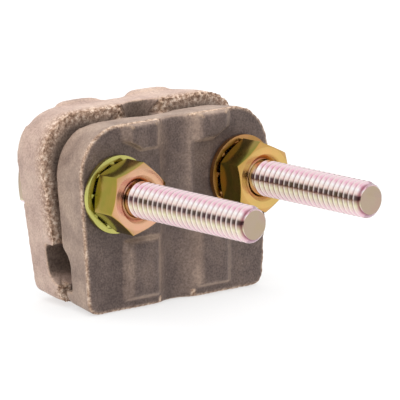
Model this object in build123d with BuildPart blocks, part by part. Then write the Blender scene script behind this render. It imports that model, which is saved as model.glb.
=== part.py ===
"""Earth rod clamp: two cast bronze jaws drawn together by a pair of long bolts.

Frame: +Z up, the jaws stand on Z = 0.  X runs across the bolts, and the bolts point along -Y.
The origin is on the axis of the clamped rod, midway between the two joint faces.
All lengths are in millimetres.
"""

from build123d import *
from math import cos, pi, radians, sin, sqrt, tan
import os

# ---------------------------------------------------------------- driving dimensions
# bolts, quarter inch by twenty threads to the inch
thread_diameter = 6.35
hex_across_flats = 11.11
bolt_spacing = 28.2
bolt_height = 21.0
bolt_length_left = 52.2
bolt_length_right = 50.0
bolt_end_chamfer = 0.8
bolt_head_height = 4.0
nut_thickness = 5.56
nut_running_clearance = 0.05
countersink_radius = 4.2
nut_turn_left = 18.9
nut_turn_right = 35.3
head_turn = 30.0
hex_chamfer_angle = 28.0

# toothed lock washers
washer_diameter = 13.6
washer_rim_width = 1.2
washer_metal = 0.9
washer_teeth = 10
tooth_root = 0.3
tooth_tip_radius = 3.6
tooth_width = 1.9
tooth_metal = 0.75
tooth_twist = 30.0

# jaws: each face of a casting has a half width at its foot and one at shoulder height,
# and the face nearer the nuts is the larger, so that the casting draws from its mould
shoulder_height = 24.0
joint_gap = 1.2
front_jaw_thickness = 7.9
front_jaw_height = 32.9
front_jaw_half_foot = 19.8
front_jaw_half_shoulder = 21.4
front_jaw_top_radius = 8.5
back_jaw_thickness = 8.8
back_jaw_height = 34.3
back_jaw_half_foot = 18.7
back_jaw_half_shoulder = 22.4
back_jaw_top_radius = 8.5
back_jaw_foot_height = 0.5
draft_at_foot = 1.4
draft_at_shoulder = 0.8
draft_at_back_shoulder = 1.4
draft_on_height = 0.7
jaw_foot_radius = 2.4
bolt_hole_clearance = 0.35

# ribs and hollows on the outer faces
rib_offset = 7.9
rib_width = 9.2
rib_crest_width = 5.0
rib_edge_radius = 1.1
front_rib_rise = 1.3
back_rib_rise = 1.6
hollow_width = 7.4
hollow_depth = 1.2
washer_clearing_radius = 9.0
front_upper_rib_length = 5.0
front_rib_top_drop = 0.1
front_lower_rib_top = 12.4
front_lower_rib_start = 1.9
back_rib_start = 2.2
back_rib_overrun = 0.1

# seats cut in the joint faces
rod_diameter = 12.7
rod_groove_width = 9.0
front_slot_foot = 3.4
front_slot_head = 11.1
front_slot_depth = 2.1
back_slot_foot = 4.2
back_slot_head = 11.1
back_slot_depth = 3.0
back_slot_foot_radius = 2.5
back_slot_head_radius = 0.8

# sockets that stop the bolt heads turning
head_pocket_depth = 2.4
head_pocket_clearance = 0.35

# ---------------------------------------------------------------- derived places
bolt_radius = thread_diameter / 2
front_joint = -joint_gap / 2
back_joint = joint_gap / 2
front_outer = front_joint - front_jaw_thickness
washer_thickness = tooth_width * sin(radians(tooth_twist)) + tooth_metal * cos(radians(tooth_twist))
back_outer = back_joint + back_jaw_thickness
washer_outer = front_outer - washer_thickness
head_seat = back_outer - head_pocket_depth
reach = 4 * back_jaw_half_shoulder
rod_groove_depth = rod_diameter / 2 - sqrt((rod_diameter / 2) ** 2 - (rod_groove_width / 2) ** 2)

sides = {"left": -bolt_spacing / 2, "right": bolt_spacing / 2}
bolt_lengths = {"left": bolt_length_left, "right": bolt_length_right}
nut_turns = {"left": nut_turn_left, "right": nut_turn_right}

os.makedirs("parts", exist_ok=True)


def facing_front(y, x=0.0, z=0.0):
    """Plane across the bolts at depth y, with its normal along -Y and its own x and y along X and Z."""
    return Plane(origin=(x, y, z), x_dir=(1, 0, 0), z_dir=(0, -1, 0))


def facing_back(y, x=0.0, z=0.0):
    """The same plane turned to face +Y, so its own x runs along -X."""
    return Plane(origin=(x, y, z), x_dir=(-1, 0, 0), z_dir=(0, 1, 0))


def jaw_outline(half_foot, half_shoulder, foot, height, top_radius):
    """Outline of one face of a jaw: wider at the shoulder, with large top corners and small feet."""
    flare = (half_shoulder - half_foot) / shoulder_height
    half_top = half_foot + flare * height
    corners = [(-half_foot, foot), (half_foot, foot), (half_top, height), (-half_top, height)]
    with BuildSketch() as outline:
        with BuildLine():
            Polyline(*corners, close=True)
        make_face()
        fillet(outline.vertices().group_by(Axis.Y)[-1], top_radius)
        fillet(outline.vertices().group_by(Axis.Y)[0], jaw_foot_radius)
    return outline.sketch


def rib(outer, rise, x, start, top, outward):
    """Rounded upright rib on an outer face, from `start` up to `top`; outward is -1 or +1 along Y."""
    with BuildPart() as upright:
        with BuildSketch(Plane.XY.offset(start)):
            with BuildLine():
                Polyline(
                    (x - rib_width / 2, outer - outward * rib_edge_radius),
                    (x - rib_width / 2, outer),
                    (x - rib_crest_width / 2, outer + outward * rise),
                    (x + rib_crest_width / 2, outer + outward * rise),
                    (x + rib_width / 2, outer),
                    (x + rib_width / 2, outer - outward * rib_edge_radius),
                    close=True,
                )
            make_face()
        extrude(amount=top - start)
        crest = upright.faces().sort_by(Axis.Y)[-1 if outward > 0 else 0]
        fillet(crest.edges(), min(rib_edge_radius, 0.8 * rise))
    return upright.part


def bolt_holes():
    """Bore both bolt holes through the jaw."""
    for x in sides.values():
        with BuildSketch(facing_front(0, x, bolt_height)) as hole:
            Circle(bolt_radius + bolt_hole_clearance)
        extrude(hole.sketch, amount=reach, both=True, mode=Mode.SUBTRACT)


def rod_groove(joint, direction):
    """Cut the shallow upright groove that the rod lies in."""
    with BuildSketch(Plane.XY) as rod:
        with Locations((0, joint + direction * (rod_groove_depth - rod_diameter / 2))):
            Circle(rod_diameter / 2)
    extrude(rod.sketch, amount=reach, both=True, mode=Mode.SUBTRACT)


def hexagon_blank(plane, height, turn):
    """Hexagonal blank with the corners of both faces turned down to a cone."""
    corner_radius = hex_across_flats / 2 / cos(pi / 6)
    face_radius = hex_across_flats / 2 * 0.97
    drop = (corner_radius - face_radius) * tan(radians(hex_chamfer_angle))
    lengthwise = Plane(origin=plane.origin, x_dir=plane.x_dir, z_dir=plane.x_dir.cross(plane.z_dir))
    with BuildPart() as blank:
        with BuildSketch(plane):
            RegularPolygon(corner_radius, 6, rotation=turn)
        extrude(amount=height)
        with BuildSketch(lengthwise):
            with BuildLine():
                Polyline(
                    (0, 0),
                    (face_radius, 0),
                    (corner_radius, drop),
                    (corner_radius, height - drop),
                    (face_radius, height),
                    (0, height),
                    close=True,
                )
            make_face()
        revolve(axis=Axis(plane.origin, plane.z_dir), mode=Mode.INTERSECT)
    return blank.part


# ---------------------------------------------------------------- front jaw
with BuildPart() as front_jaw:
    with BuildSketch(facing_front(front_outer)):
        add(
            jaw_outline(
                front_jaw_half_foot, front_jaw_half_shoulder, 0, front_jaw_height, front_jaw_top_radius
            )
        )
    with BuildSketch(facing_front(front_joint)):
        add(
            jaw_outline(
                front_jaw_half_foot - draft_at_foot,
                front_jaw_half_shoulder - draft_at_shoulder,
                draft_on_height,
                front_jaw_height - draft_on_height,
                front_jaw_top_radius,
            )
        )
    loft()
    for x in (-rib_offset, rib_offset):
        rib_top = front_jaw_height - front_rib_top_drop
        add(rib(front_outer, front_rib_rise, x, rib_top - front_upper_rib_length, rib_top, -1))
        add(rib(front_outer, front_rib_rise, x, front_lower_rib_start, front_lower_rib_top, -1))
    # hollow between the ribs
    hollow_radius = ((hollow_width / 2) ** 2 + hollow_depth**2) / (2 * hollow_depth)
    with BuildSketch(Plane.XY):
        with Locations((0, front_outer - hollow_radius + hollow_depth)):
            Circle(hollow_radius)
    extrude(amount=reach, both=True, mode=Mode.SUBTRACT)
    # round clearings for the washers
    for x in sides.values():
        with BuildSketch(facing_front(front_outer, x, bolt_height)):
            Circle(washer_clearing_radius)
        extrude(amount=reach, mode=Mode.SUBTRACT)
    bolt_holes()
    rod_groove(front_joint, -1)
    # slot for the conductor, sloped at its upper edge
    with BuildSketch(Plane.YZ):
        with BuildLine():
            Polyline(
                (front_joint + 1, front_slot_foot),
                (front_joint - front_slot_depth, front_slot_foot),
                (front_joint - front_slot_depth, front_slot_head - front_slot_depth),
                (front_joint, front_slot_head),
                (front_joint + 1, front_slot_head + 1),
                close=True,
            )
        make_face()
    extrude(amount=reach, both=True, mode=Mode.SUBTRACT)
front_jaw.part.label = "front_jaw"
export_step(front_jaw.part, "parts/front_jaw.step")

# ---------------------------------------------------------------- back jaw
with BuildPart() as back_jaw:
    with BuildSketch(facing_front(back_joint)):
        add(
            jaw_outline(
                back_jaw_half_foot,
                back_jaw_half_shoulder,
                back_jaw_foot_height,
                back_jaw_height,
                back_jaw_top_radius,
            )
        )
    with BuildSketch(facing_front(back_outer)):
        add(
            jaw_outline(
                back_jaw_half_foot - draft_at_foot,
                back_jaw_half_shoulder - draft_at_back_shoulder,
                back_jaw_foot_height + draft_on_height,
                back_jaw_height - draft_on_height,
                back_jaw_top_radius - draft_on_height,
            )
        )
    loft()
    for x in (-rib_offset, rib_offset):
        rib_top = back_jaw_height + back_rib_overrun
        add(rib(back_outer, back_rib_rise, x, back_rib_start, rib_top, 1))
    # round clearings and hexagonal sockets for the bolt heads
    for x in sides.values():
        with BuildSketch(facing_back(back_outer, x, bolt_height)):
            Circle(washer_clearing_radius)
        extrude(amount=reach, mode=Mode.SUBTRACT)
        with BuildSketch(facing_back(head_seat, x, bolt_height)):
            RegularPolygon(hex_across_flats / 2 + head_pocket_clearance, 6, major_radius=False, rotation=head_turn)
        extrude(amount=reach, mode=Mode.SUBTRACT)
    bolt_holes()
    rod_groove(back_joint, 1)
    # slot for the conductor, rounded at its foot
    with BuildSketch(Plane.YZ) as slot:
        with BuildLine():
            Polyline(
                (back_joint - 1, back_slot_foot),
                (back_joint + back_slot_depth, back_slot_foot),
                (back_joint + back_slot_depth, back_slot_head),
                (back_joint - 1, back_slot_head),
                close=True,
            )
        make_face()
        fillet(slot.vertices().group_by(Axis.X)[-1].sort_by(Axis.Y)[0], back_slot_foot_radius)
        fillet(slot.vertices().group_by(Axis.X)[-1].sort_by(Axis.Y)[-1], back_slot_head_radius)
    extrude(amount=reach, both=True, mode=Mode.SUBTRACT)
back_jaw.part.label = "back_jaw"
export_step(back_jaw.part, "parts/back_jaw.step")

# ---------------------------------------------------------------- bolts, nuts and lock washers
for side, x in sides.items():
    with BuildPart() as bolt:
        add(hexagon_blank(facing_back(head_seat, x, bolt_height), bolt_head_height, head_turn))
        with BuildSketch(facing_front(head_seat, x, bolt_height)):
            Circle(bolt_radius)
        extrude(amount=bolt_lengths[side])
        chamfer(bolt.edges().filter_by(GeomType.CIRCLE).sort_by(Axis.Y)[0], bolt_end_chamfer)
    bolt.part.label = f"bolt_{side}"
    export_step(bolt.part, f"parts/bolt_{side}.step")

    with BuildPart() as nut:
        nut_seat = facing_front(washer_outer, x, bolt_height)
        add(hexagon_blank(nut_seat, nut_thickness, nut_turns[side]))
        with Locations(nut_seat.offset(nut_thickness)):
            CounterSinkHole(bolt_radius + nut_running_clearance, countersink_radius, counter_sink_angle=120)
    nut.part.label = f"nut_{side}"
    export_step(nut.part, f"parts/nut_{side}.step")

    with BuildPart() as washer:
        rim = washer_diameter / 2
        inner = rim - washer_rim_width
        seat = facing_front(front_outer, x, bolt_height)
        with BuildSketch(seat.offset((washer_thickness - washer_metal) / 2)):
            Circle(rim)
            Circle(inner, mode=Mode.SUBTRACT)
        extrude(amount=washer_metal)
        for number in range(washer_teeth):
            angle = 2 * pi * number / washer_teeth
            outward = Vector(cos(angle), 0, sin(angle))
            root = Vector(x, front_outer - washer_thickness / 2, bolt_height) + outward * (inner + tooth_root)
            with BuildSketch(Plane(origin=root, x_dir=(0, -1, 0), z_dir=-outward)):
                Rectangle(tooth_metal, tooth_width, rotation=tooth_twist)
            extrude(amount=inner + tooth_root - tooth_tip_radius)
    washer.part.label = f"lock_washer_{side}"
    export_step(washer.part, f"parts/lock_washer_{side}.step")
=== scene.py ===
"""Looks of the earth rod clamp: sand-cast bronze jaws on yellow-passivated zinc hardware."""
from math import cos, pi, radians, sin

import bmesh
import bpy
from mathutils import Matrix, Vector, kdtree, noise


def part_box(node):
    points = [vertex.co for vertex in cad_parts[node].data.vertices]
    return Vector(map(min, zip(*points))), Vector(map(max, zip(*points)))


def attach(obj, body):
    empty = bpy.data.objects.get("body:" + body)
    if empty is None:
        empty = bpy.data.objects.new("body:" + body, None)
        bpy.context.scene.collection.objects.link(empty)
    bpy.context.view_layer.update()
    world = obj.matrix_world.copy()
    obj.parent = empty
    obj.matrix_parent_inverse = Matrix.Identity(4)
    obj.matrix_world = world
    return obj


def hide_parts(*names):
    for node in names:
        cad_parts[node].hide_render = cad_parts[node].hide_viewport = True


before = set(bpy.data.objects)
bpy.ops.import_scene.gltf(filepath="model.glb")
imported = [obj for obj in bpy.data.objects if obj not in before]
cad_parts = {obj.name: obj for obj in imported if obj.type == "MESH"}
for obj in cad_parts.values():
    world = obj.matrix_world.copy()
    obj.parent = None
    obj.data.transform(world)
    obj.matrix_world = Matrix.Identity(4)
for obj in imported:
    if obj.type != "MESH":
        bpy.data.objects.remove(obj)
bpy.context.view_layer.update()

MM = 0.001
SIDES = ("left", "right")

# ---------------------------------------------------------------- sizes, in metres
# quarter-inch coarse thread; the shares are of one pitch along the bolt
PITCH = 1.27 * MM
THREAD_RADIUS = 3.175 * MM
THREAD_DEPTH = 0.70 * MM
THREAD_SEGMENTS = 64
CREST_START = 0.36
CREST_END = 0.50
FLANK_END = 0.86
END_CHAMFER = 0.75 * MM
HEAD_HEIGHT = 4.0 * MM
SHANK_IN_HEAD = 0.3 * MM

# how far loose triangles are joined, and which angles count as flat, as an arris and as crisp
MERGE_DISTANCE = 0.002 * MM
THREAD_MERGE_DISTANCE = 0.005 * MM
FLAT_ANGLE = radians(1.0)
BREAK_ANGLE = radians(22)
ARRIS_ANGLE = radians(32)
CRISP_ANGLE = radians(38)
BROKEN_EDGE = 0.12 * MM
WASHER_EDGE = 0.10 * MM

# sand-cast skin
CASTING_VOXEL = 0.26 * MM
ARRIS_STEP = 0.5 * MM
SMOOTHING_ROUNDS = 5
SOFT_ROUNDS = 45
# width of the painted edge highlight and wear along the outline's arrises
HIGHLIGHT_AND_WEAR_WIDTH = 0.7 * MM
RIM_TOLERANCE = 0.4 * MM
OUTLINE_HALF_WIDTH = 16.5 * MM
OUTLINE_FOOT = 1.5 * MM
OUTLINE_TOP = 31.5 * MM
COARSE_LUMPS = 2.2 * MM
FINE_LUMPS = 0.8 * MM
PIT_SIZE = 0.5 * MM
COARSE_HEIGHT = 0.05 * MM
FINE_HEIGHT = 0.03 * MM
SKIN_SINK = 0.04 * MM


# ---------------------------------------------------------------- small tools
def linear(hex_colour):
    """Turn an sRGB hex value into the linear RGBA that the shaders use."""
    values = [int(hex_colour[i:i + 2], 16) / 255 for i in (1, 3, 5)]
    return [v / 12.92 if v <= 0.04045 else ((v + 0.055) / 1.055) ** 2.4 for v in values] + [1.0]


def add_node(tree, kind, inputs=None, **settings):
    """Add one node: settings are its properties, inputs its values or the sockets that feed it."""
    node = tree.nodes.new(kind)
    for name, value in settings.items():
        setattr(node, name, value)
    for name, value in (inputs or {}).items():
        socket = node.inputs[name]
        if isinstance(value, bpy.types.NodeSocket):
            tree.links.new(value, socket)
        else:
            socket.default_value = value
    return node


def new_material(name):
    """An empty node material with its output, ready for a shader."""
    material = bpy.data.materials.new(name)
    material.use_nodes = True
    material.node_tree.nodes.clear()
    output = material.node_tree.nodes.new("ShaderNodeOutputMaterial")
    return material, material.node_tree, output


def ramp(tree, factor, stops):
    """Colour ramp from (position, hex colour) stops."""
    node = add_node(tree, "ShaderNodeValToRGB", {"Fac": factor})
    elements = node.color_ramp.elements
    elements[0].position, elements[1].position = stops[0][0], stops[-1][0]
    for position, _ in stops[1:-1]:
        elements.new(position)
    for element, (_, colour) in zip(elements, stops):
        element.color = linear(colour)
    return node.outputs["Color"]


def finish_mesh(bm, name, smooth=True):
    """Turn a bmesh into an object in the scene, with its faces pointing outwards."""
    bmesh.ops.recalc_face_normals(bm, faces=bm.faces)
    mesh = bpy.data.meshes.new(name)
    bm.to_mesh(mesh)
    bm.free()
    for polygon in mesh.polygons:
        polygon.use_smooth = smooth
    piece = bpy.data.objects.new(name, mesh)
    bpy.context.scene.collection.objects.link(piece)
    return piece


def merged_copy(node):
    """bmesh of a CAD node with its loose triangles joined."""
    bm = bmesh.new()
    bm.from_mesh(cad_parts[node].data)
    bmesh.ops.remove_doubles(bm, verts=bm.verts, dist=MERGE_DISTANCE)
    return bm


def everything(bm):
    """All of a bmesh, as the cutting and copying operators ask for it."""
    return bm.verts[:] + bm.edges[:] + bm.faces[:]


def apply_modifiers(piece):
    """Make what the modifiers give the piece's own mesh."""
    depsgraph = bpy.context.evaluated_depsgraph_get()
    mesh = bpy.data.meshes.new_from_object(piece.evaluated_get(depsgraph))
    piece.modifiers.clear()
    piece.data = mesh


def dress(piece, node, body, material):
    """Put the piece in place of a CAD node, on its body and with its material."""
    piece.data.materials.clear()
    piece.data.materials.append(material)
    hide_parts(node)
    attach(piece, body)


# ---------------------------------------------------------------- materials
def sand_cast_bronze(name, shaded_face_stops, lit_side_stops):
    """Bronze as cast in sand and lightly oxidised: grainy on its flat faces and smoother on the sides that drew
    from the mould, with painted shade darkening the flat faces, painted light making the sides paler, and the
    sharp outline brighter in patches, partly painted edge highlight and partly rubbed metal."""
    material, tree, output = new_material(name)
    place = add_node(tree, "ShaderNodeTexCoord").outputs["Object"]
    normal = add_node(tree, "ShaderNodeNewGeometry").outputs["Normal"]
    facing = add_node(tree, "ShaderNodeSeparateXYZ", {"Vector": normal})
    arris = add_node(tree, "ShaderNodeAttribute", attribute_name="arris").outputs["Fac"]
    ragged = add_node(tree, "ShaderNodeAttribute", attribute_name="ragged").outputs["Fac"]
    # clouds in the oxide, some 5 mm across
    mottle = add_node(tree, "ShaderNodeTexNoise", {
        "Vector": place, "Scale": 1 / (5 * MM), "Detail": 4.0, "Roughness": 0.6,
    }).outputs["Fac"]
    # grain left by the sand, 0.35 mm
    grain = add_node(tree, "ShaderNodeTexNoise", {
        "Vector": place, "Scale": 1 / (0.35 * MM), "Detail": 2.0, "Roughness": 0.6,
    }).outputs["Fac"]
    # patches under a millimetre across where the oxide wore through
    patches = add_node(tree, "ShaderNodeTexNoise", {
        "Vector": place, "Scale": 1 / (0.7 * MM), "Detail": 4.0, "Roughness": 0.7,
    }).outputs["Fac"]
    # the flat faces look along the bolts, and the sides that drew from the mould and the ribs' flanks turn away
    # from them: painted shade darkens the flat faces and painted light makes the sides and flanks paler
    flatness = add_node(tree, "ShaderNodeMath", {0: facing.outputs["Y"]}, operation="ABSOLUTE").outputs[0]
    painted_side_light = add_node(tree, "ShaderNodeMapRange", {
        "Value": flatness, "From Min": 0.985, "From Max": 0.72,
    }).outputs["Result"]
    base = add_node(tree, "ShaderNodeMix", {
        "Factor": painted_side_light, 6: ramp(tree, mottle, shaded_face_stops), 7: ramp(tree, mottle, lit_side_stops),
    }, data_type="RGBA").outputs[2]
    # the grain shades the flat faces more than the sides that drew from the mould
    shade = ramp(tree, grain, [(0.34, "#9c9490"), (0.5, "#dcd7d3"), (0.64, "#ffffff")])
    grip = add_node(tree, "ShaderNodeMapRange", {
        "Value": painted_side_light, "To Min": 0.7, "To Max": 0.4,
    }).outputs["Result"]
    grained = add_node(tree, "ShaderNodeMix", {
        "Factor": grip, 6: base, 7: shade,
    }, data_type="RGBA", blend_type="MULTIPLY").outputs[2]
    # the ragged parting edge: ochre crumbs over dark brown pits
    crumbs = ramp(tree, patches, [(0.38, "#7a5c48"), (0.5, "#b3937c"), (0.62, "#ecd6c2")])
    rim = add_node(tree, "ShaderNodeMath", {
        0: ragged, 1: 1.1,
    }, operation="MULTIPLY", use_clamp=True).outputs[0]
    edged = add_node(tree, "ShaderNodeMix", {
        "Factor": rim, 6: grained, 7: crumbs,
    }, data_type="RGBA").outputs[2]
    # the other arrises of the outline are brighter in places: partly painted edge highlight, partly rubbed
    # metal
    broken = add_node(tree, "ShaderNodeMapRange", {
        "Value": patches, "From Min": 0.38, "From Max": 0.56,
    }).outputs["Result"]
    sharp = add_node(tree, "ShaderNodeMapRange", {
        "Value": arris, "From Min": 0.3, "From Max": 0.95, "To Max": 0.6,
    }).outputs["Result"]
    bright = add_node(tree, "ShaderNodeMath", {0: broken, 1: sharp}, operation="MULTIPLY").outputs[0]
    brightened_edges = add_node(tree, "ShaderNodeMix", {
        "Factor": bright, 6: edged, 7: linear("#cfb091"),
    }, data_type="RGBA").outputs[2]
    # small bare flecks where single grains fell out
    fleck = add_node(tree, "ShaderNodeMapRange", {
        "Value": patches, "From Min": 0.70, "From Max": 0.74, "To Max": 0.6,
    }).outputs["Result"]
    flecked = add_node(tree, "ShaderNodeMix", {
        "Factor": fleck, 6: brightened_edges, 7: linear("#dcc6b0"),
    }, data_type="RGBA").outputs[2]
    bump = add_node(tree, "ShaderNodeBump", {
        "Height": grain, "Strength": 0.4, "Distance": 0.12 * MM,
    }).outputs["Normal"]
    # the oxide hides most of the metal
    shader = add_node(tree, "ShaderNodeBsdfPrincipled", {
        "Base Color": flecked, "Metallic": 0.2, "Roughness": 0.58, "Normal": bump,
    })
    tree.links.new(shader.outputs["BSDF"], output.inputs["Surface"])
    return material


def yellow_zinc(name, axis, painted_reflection_bands, film, roughness, film_share=0.3, threaded=False):
    """Steel, electroplated with bright zinc under a yellow passivate.

    The metal's hue turns with the way it faces along one axis (bands), a painted reflection of the room and its
    lamps, and it drifts where the passivate, a thin film, is thicker or thinner (film).
    """
    material, tree, output = new_material(name)
    place = add_node(tree, "ShaderNodeTexCoord").outputs["Object"]
    # the film thickens and thins over some 3 mm
    drift = add_node(tree, "ShaderNodeTexNoise", {
        "Vector": place, "Scale": 1 / (3 * MM), "Detail": 2.0, "Roughness": 0.5,
    }).outputs["Fac"]
    normal = add_node(tree, "ShaderNodeNewGeometry").outputs["Normal"]
    facing = add_node(tree, "ShaderNodeSeparateXYZ", {"Vector": normal}).outputs[axis]
    along = add_node(tree, "ShaderNodeMapRange", {
        "Value": facing, "From Min": -1.0, "From Max": 1.0,
    }).outputs["Result"]
    hues = add_node(tree, "ShaderNodeMix", {
        "Factor": film_share, 6: ramp(tree, along, painted_reflection_bands), 7: ramp(tree, drift, film),
    }, data_type="RGBA").outputs[2]
    if threaded:
        # the thread's depth, from crest to root: painted highlight on the crests, painted shade tinted pink in
        # the roots
        depth = add_node(tree, "ShaderNodeAttribute", attribute_name="thread_depth").outputs["Fac"]
        crest_highlight = add_node(tree, "ShaderNodeMapRange", {
            "Value": depth, "From Min": 0.3, "From Max": 0.0, "To Max": 0.75,
        }).outputs["Result"]
        root = add_node(tree, "ShaderNodeMapRange", {
            "Value": depth, "From Min": 0.5, "From Max": 1.0, "To Max": 0.85,
        }).outputs["Result"]
        brightened_edges = add_node(tree, "ShaderNodeMix", {
            "Factor": crest_highlight, 6: hues, 7: linear("#f6e8e2"),
        }, data_type="RGBA").outputs[2]
        # painted shade, tinted pink, in the thread roots
        hues = add_node(tree, "ShaderNodeMix", {
            "Factor": root, 6: brightened_edges, 7: linear("#a8707c"),
        }, data_type="RGBA", blend_type="MULTIPLY").outputs[2]
    shader = add_node(tree, "ShaderNodeBsdfPrincipled", {
        "Base Color": hues, "Metallic": 1.0, "Roughness": roughness,
    })
    tree.links.new(shader.outputs["BSDF"], output.inputs["Surface"])
    return material


# ---------------------------------------------------------------- pieces
def arris_tree(bm):
    """Points at short steps along the arrises of a solid, for asking how near one is."""
    points = []
    for edge in bm.edges:
        if len(edge.link_faces) == 2 and edge.calc_face_angle() > ARRIS_ANGLE:
            start, end = (vertex.co for vertex in edge.verts)
            steps = int((end - start).length / ARRIS_STEP) + 1
            points += [start.lerp(end, step / steps) for step in range(steps + 1)]
    tree = kdtree.KDTree(len(points))
    for index, point in enumerate(points):
        tree.insert(point, index)
    tree.balance()
    return tree


def smooth(bm, verts, rounds):
    """Let each vertex settle halfway towards its neighbours, some rounds long."""
    for _ in range(rounds):
        bmesh.ops.smooth_vert(bm, verts=verts, factor=0.5, use_axis_x=True, use_axis_y=True, use_axis_z=True)


def casting(node, soft_above, soft_behind, rim_depth, rim_width, rim_bite):
    """A jaw with the soft edges and uneven skin of sand casting.

    What lies above and behind the two soft limits is rounded most.  The arrises near rim_depth are ragged
    over rim_width, where the skin is bitten up to rim_bite deep.
    """
    bm = merged_copy(node)
    arrises = arris_tree(bm)
    piece = finish_mesh(bm, f"{node}_casting")
    remesh = piece.modifiers.new("skin", "REMESH")
    remesh.mode = "VOXEL"
    remesh.voxel_size = CASTING_VOXEL
    apply_modifiers(piece)
    bm = bmesh.new()
    bm.from_mesh(piece.data)
    smooth(bm, bm.verts, SMOOTHING_ROUNDS)
    smooth(bm, [v for v in bm.verts if v.co.z > soft_above and v.co.y > soft_behind], SOFT_ROUNDS)
    bm.to_mesh(piece.data)
    bm.free()
    # nearness to the outline's arrises, where painted edge highlight and rubbed metal are laid
    highlight_and_wear = piece.data.attributes.new("arris", "FLOAT", "POINT")
    ragged = piece.data.attributes.new("ragged", "FLOAT", "POINT")
    outwards = [vertex.normal.copy() for vertex in piece.data.vertices]
    for index, (vertex, outward) in enumerate(zip(piece.data.vertices, outwards)):
        nearest, _, distance = arrises.find(vertex.co)
        on_outline = abs(nearest.x) > OUTLINE_HALF_WIDTH or not OUTLINE_FOOT < nearest.z < OUTLINE_TOP
        on_rim = on_outline and abs(nearest.y - rim_depth) < RIM_TOLERANCE
        near = max(0.0, 1.0 - distance / HIGHLIGHT_AND_WEAR_WIDTH) if on_outline else 0.0
        rough = max(0.0, 1.0 - distance / rim_width) if on_rim else 0.0
        coarse = noise.noise(vertex.co / COARSE_LUMPS)
        fine = noise.noise(vertex.co / FINE_LUMPS)
        pits = noise.noise(vertex.co / PIT_SIZE)
        highlight_and_wear.data[index].value = near
        ragged.data[index].value = rough
        lumps = COARSE_HEIGHT * coarse + FINE_HEIGHT * fine - SKIN_SINK
        vertex.co += outward * (lumps + rough * rim_bite * 0.5 * (pits + fine - 1.0))
    for polygon in piece.data.polygons:
        polygon.use_smooth = True
    return piece


def threaded_shank(low, high, centre):
    """Helical thread, from one pitch before the bolt's free end to past its head."""
    root = THREAD_RADIUS - THREAD_DEPTH
    outline = [(0.0, root), (CREST_START, THREAD_RADIUS), (CREST_END, THREAD_RADIUS), (FLANK_END, root)]
    turns = int((high.y - low.y) / PITCH) + 2
    start = low.y - PITCH
    bm = bmesh.new()
    profile = [bm.verts.new((centre.x + radius, start + PITCH * share, centre.z)) for share, radius in outline]
    profile.append(bm.verts.new((centre.x + root, start + PITCH, centre.z)))
    edges = [bm.edges.new(pair) for pair in zip(profile, profile[1:])]
    bmesh.ops.spin(
        bm, geom=profile + edges, cent=centre, axis=(0, 1, 0), dvec=(0, PITCH / THREAD_SEGMENTS, 0),
        angle=2 * pi, steps=THREAD_SEGMENTS, use_merge=False,
    )
    one_turn = everything(bm)
    for number in range(1, turns):
        copied = bmesh.ops.duplicate(bm, geom=one_turn)["geom"]
        moved = [v for v in copied if isinstance(v, bmesh.types.BMVert)]
        bmesh.ops.translate(bm, verts=moved, vec=(0, PITCH * number, 0))
    bmesh.ops.remove_doubles(bm, verts=bm.verts, dist=THREAD_MERGE_DISTANCE)
    return bm


def cut_across(bm, level, keep_below):
    """Cut a piece square across the bolt, and give the edges of the cut."""
    cut = bmesh.ops.bisect_plane(
        bm, geom=everything(bm), plane_co=(0, level, 0), plane_no=(0, 1, 0),
        clear_outer=keep_below, clear_inner=not keep_below,
    )
    return [e for e in cut["geom_cut"] if isinstance(e, bmesh.types.BMEdge)]


def add_head(bm, side, head_face):
    """Add the forged hexagon head, with its edges just broken."""
    head = merged_copy(f"bolt_{side}")
    bmesh.ops.holes_fill(head, edges=cut_across(head, head_face, keep_below=False))
    bmesh.ops.dissolve_limit(head, angle_limit=FLAT_ANGLE, verts=head.verts, edges=head.edges)
    arrises = [e for e in head.edges if len(e.link_faces) == 2 and e.calc_face_angle() > BREAK_ANGLE]
    bmesh.ops.bevel(
        head, geom=arrises, offset=BROKEN_EDGE, affect="EDGES", segments=2, profile=0.5, material=-1
    )
    joined = bpy.data.meshes.new(f"bolt_{side}_head")
    head.to_mesh(joined)
    head.free()
    bm.from_mesh(joined)
    bpy.data.meshes.remove(joined)


def bolt(side):
    """Hexagon bolt with a full-length thread, turned down to a cone at its free end."""
    low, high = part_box(f"bolt_{side}")
    centre = Vector(((low.x + high.x) / 2, 0, (low.z + high.z) / 2))
    bm = threaded_shank(low, high, centre)
    for vertex in bm.verts:
        across = Vector((vertex.co.x - centre.x, 0, vertex.co.z - centre.z))
        limit = THREAD_RADIUS - END_CHAMFER + max(0.0, vertex.co.y - low.y)
        if across.length > limit:
            across.length = limit
            vertex.co.x = centre.x + across.x
            vertex.co.z = centre.z + across.z
    head_face = high.y - HEAD_HEIGHT
    bmesh.ops.contextual_create(bm, geom=cut_across(bm, low.y, keep_below=False))
    bmesh.ops.contextual_create(bm, geom=cut_across(bm, head_face + SHANK_IN_HEAD, keep_below=True))
    add_head(bm, side, head_face)
    piece = finish_mesh(bm, f"bolt_{side}_threaded")
    piece.data.set_sharp_from_angle(angle=CRISP_ANGLE)
    # how deep in the thread each point lies: 0 on a crest, 1 at a root, and between them on the plain parts
    depths = piece.data.attributes.new("thread_depth", "FLOAT", "POINT")
    for vertex in piece.data.vertices:
        radius = Vector((vertex.co.x - centre.x, 0, vertex.co.z - centre.z)).length
        plain = vertex.co.y < low.y + 0.05 * MM or vertex.co.y > head_face
        share = (THREAD_RADIUS - radius) / THREAD_DEPTH
        depths.data[vertex.index].value = 0.4 if plain else min(1.0, max(0.0, share))
    return piece


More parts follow.
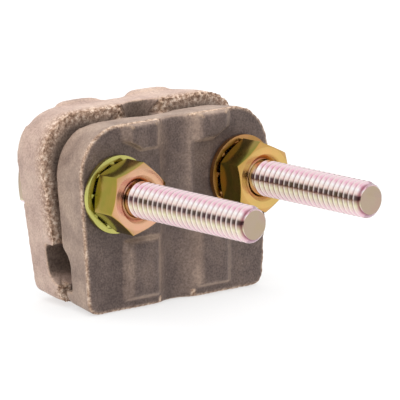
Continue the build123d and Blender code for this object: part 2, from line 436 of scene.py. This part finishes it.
def crisp_copy(node, name, edge):
    """A turned or stamped piece with its edges just broken."""
    bm = merged_copy(node)
    bmesh.ops.dissolve_limit(bm, angle_limit=FLAT_ANGLE, verts=bm.verts, edges=bm.edges)
    piece = finish_mesh(bm, name)
    bevel = piece.modifiers.new("broken_edges", "BEVEL")
    bevel.width = edge
    bevel.segments = 2
    bevel.limit_method = "ANGLE"
    bevel.angle_limit = BREAK_ANGLE
    apply_modifiers(piece)
    return piece


# each jaw's first stops are the flat faces under painted shade, the second the sides under painted light
front_bronze = sand_cast_bronze(
    "bronze_sand_cast_front",
    [(0.32, "#5e4f4a"), (0.5, "#6f5f59"), (0.68, "#806e65")],
    [(0.32, "#8c776b"), (0.5, "#a18b7d"), (0.68, "#b69f8e")],
)
back_bronze = sand_cast_bronze(
    "bronze_sand_cast_back",
    [(0.32, "#6f5f56"), (0.5, "#7f6e63"), (0.68, "#8f7c6f")],
    [(0.32, "#b0968a"), (0.5, "#c4a99b"), (0.68, "#d2b9a9")],
)
# bolts: painted reflections of the room, pink and white above, a dark horizon, then cream and pink below
bolt_zinc = yellow_zinc(
    "zinc_bolt_painted_reflections",
    "Z",
    [(0.0, "#e8b4cc"), (0.2, "#e6c6cc"), (0.40, "#dcd8b4"), (0.53, "#93796a"), (0.58, "#2e1f18"),
     (0.655, "#3a2921"), (0.72, "#f4dcd2"), (0.82, "#ffffff"), (0.9, "#f0b8cc"), (1.0, "#ffffff")],
    [(0.35, "#d8c39c"), (0.5, "#dcc6bf"), (0.65, "#e2a9bf")],
    roughness=0.16,
    film_share=0.1,
    threaded=True,
)
# nuts: painted reflections by facing, a peach or golden face towards the bolts' free ends, and olive flats
nut_zinc = {
    "left": yellow_zinc(
        "zinc_yellow_nut_left",
        "Y",
        [(0.0, "#e6b09a"), (0.06, "#dfa88a"), (0.16, "#bb9444"), (0.4, "#9c8a3c"), (1.0, "#8f8a3a")],
        [(0.35, "#8c8c3a"), (0.5, "#a99048"), (0.65, "#c08c64")],
        roughness=0.2,
    ),
    "right": yellow_zinc(
        "zinc_yellow_nut_right",
        "Y",
        [(0.0, "#e2b774"), (0.06, "#d8a666"), (0.16, "#c39a46"), (0.4, "#85803a"), (1.0, "#7f7c36")],
        [(0.35, "#7f8636"), (0.5, "#9a8a3e"), (0.65, "#b8864e")],
        roughness=0.2,
    ),
}
# washers: yellow-green on the left, copper-gold on the right, each with painted light making it lighter where
# it faces up
washer_zinc = {
    "left": yellow_zinc(
        "zinc_yellow_washer_left",
        "Z",
        [(0.0, "#b5ae5c"), (0.5, "#bdbb6a"), (1.0, "#cccb80")],
        [(0.35, "#b0ae60"), (0.5, "#c0ba70"), (0.65, "#c7a468")],
        roughness=0.25,
    ),
    "right": yellow_zinc(
        "zinc_yellow_washer_right",
        "Z",
        [(0.0, "#9c7440"), (0.5, "#a67c48"), (1.0, "#c99a6c")],
        [(0.35, "#a58440"), (0.5, "#b58a50"), (0.65, "#cf9468")],
        roughness=0.25,
    ),
}

# the front jaw's ragged edge is on its outer face, the back jaw's on its joint face
front_casting = casting(
    "front_jaw", soft_above=31.5 * MM, soft_behind=-8.0 * MM,
    rim_depth=-8.5 * MM, rim_width=0.8 * MM, rim_bite=0.25 * MM,
)
back_casting = casting(
    "back_jaw", soft_above=31.0 * MM, soft_behind=5.5 * MM,
    rim_depth=0.6 * MM, rim_width=2.8 * MM, rim_bite=0.7 * MM,
)
dress(front_casting, "front_jaw", "front", front_bronze)
dress(back_casting, "back_jaw", "back", back_bronze)
for side in SIDES:
    nut = f"nut_{side}"
    washer = f"lock_washer_{side}"
    dress(bolt(side), f"bolt_{side}", "back", bolt_zinc)
    turned_nut = crisp_copy(nut, f"{nut}_turned", BROKEN_EDGE)
    stamped_washer = crisp_copy(washer, f"{washer}_stamped", WASHER_EDGE)
    dress(turned_nut, nut, f"{side}_nut", nut_zinc[side])
    dress(stamped_washer, washer, "front", washer_zinc[side])


# ---------------------------------------------------------------- studio
def floor():
    """White paper floor that glows a little, so that it stays near white and takes only a faint shadow."""
    bm = bmesh.new()
    bmesh.ops.create_grid(bm, x_segments=1, y_segments=1, size=1.5)
    piece = finish_mesh(bm, "studio_floor", smooth=False)
    material, tree, output = new_material("floor_white_paper")
    paper = add_node(tree, "ShaderNodeBsdfDiffuse", {"Color": linear("#f4f4f4")})
    glow = add_node(tree, "ShaderNodeEmission", {"Color": linear("#ffffff"), "Strength": 1.0})
    lit = add_node(tree, "ShaderNodeMixShader", {
        "Fac": 0.6, 1: paper.outputs["BSDF"], 2: glow.outputs["Emission"],
    })
    tree.links.new(lit.outputs[0], output.inputs["Surface"])
    piece.data.materials.append(material)


def soft_box(name, place, target, size, watts):
    """Square area lamp aimed at the clamp, left out of the metal's reflections so that they keep their hues."""
    lamp = bpy.data.lights.new(name, "AREA")
    lamp.shape = "SQUARE"
    lamp.size = size
    lamp.energy = watts
    holder = bpy.data.objects.new(name, lamp)
    holder.location = place
    holder.rotation_euler = (Vector(place) - target).to_track_quat("Z", "Y").to_euler()
    holder.visible_glossy = False
    bpy.context.scene.collection.objects.link(holder)


def white_room():
    """World: soft even light, pure white where it is seen or mirrored."""
    world = bpy.data.worlds.new("white_room")
    world.use_nodes = True
    tree = world.node_tree
    tree.nodes.clear()
    output = tree.nodes.new("ShaderNodeOutputWorld")
    path = add_node(tree, "ShaderNodeLightPath")
    mirrored = add_node(tree, "ShaderNodeMath", {
        0: path.outputs["Is Glossy Ray"], 1: path.outputs["Is Transmission Ray"],
    }, operation="MAXIMUM")
    seen = add_node(tree, "ShaderNodeMath", {
        0: path.outputs["Is Camera Ray"], 1: mirrored.outputs[0],
    }, operation="MAXIMUM")
    light = add_node(tree, "ShaderNodeBackground", {"Color": linear("#ffffff"), "Strength": 0.55})
    white = add_node(tree, "ShaderNodeBackground", {"Color": linear("#ffffff"), "Strength": 1.0})
    mix = add_node(tree, "ShaderNodeMixShader", {
        "Fac": seen.outputs[0], 1: light.outputs[0], 2: white.outputs[0],
    })
    tree.links.new(mix.outputs[0], output.inputs["Surface"])
    bpy.context.scene.world = world


def camera():
    """Long lens, a little above the clamp and to the left of its bolts."""
    turn = radians(40.42)
    tilt = radians(11.41)
    lean = radians(-0.49)
    distance = 0.86144
    between_nuts = Vector((0.0, -0.0154, 0.021))
    shift_left = 0.000423
    shift_down = 0.002018
    lens_camera = bpy.data.cameras.new("camera")
    lens_camera.sensor_width = 36.0
    lens_camera.lens = 450.0
    lens_camera.clip_end = 10.0
    lens_camera.clip_start = 0.1
    back = Vector((-sin(turn) * cos(tilt), -cos(turn) * cos(tilt), sin(tilt)))
    right = Vector((cos(turn), -sin(turn), 0.0))
    up = back.cross(right)
    leaning_right = cos(lean) * right + sin(lean) * up
    leaning_up = cos(lean) * up - sin(lean) * right
    aim = between_nuts - shift_left * leaning_right - shift_down * leaning_up
    turned = Matrix((leaning_right, leaning_up, back)).transposed().to_4x4()
    holder = bpy.data.objects.new("camera", lens_camera)
    holder.matrix_world = Matrix.Translation(aim + distance * back) @ turned
    bpy.context.scene.collection.objects.link(holder)
    bpy.context.scene.camera = holder


floor()
white_room()
clamp_middle = Vector((0.0, -0.01, 0.018))
soft_box("key_light", (-0.45, -0.25, 0.60), clamp_middle, size=0.9, watts=5.0)
soft_box("top_light", (0.25, 0.1, 0.5), clamp_middle, size=1.1, watts=4.6)
camera()
bpy.context.scene.view_settings.view_transform = "Standard"
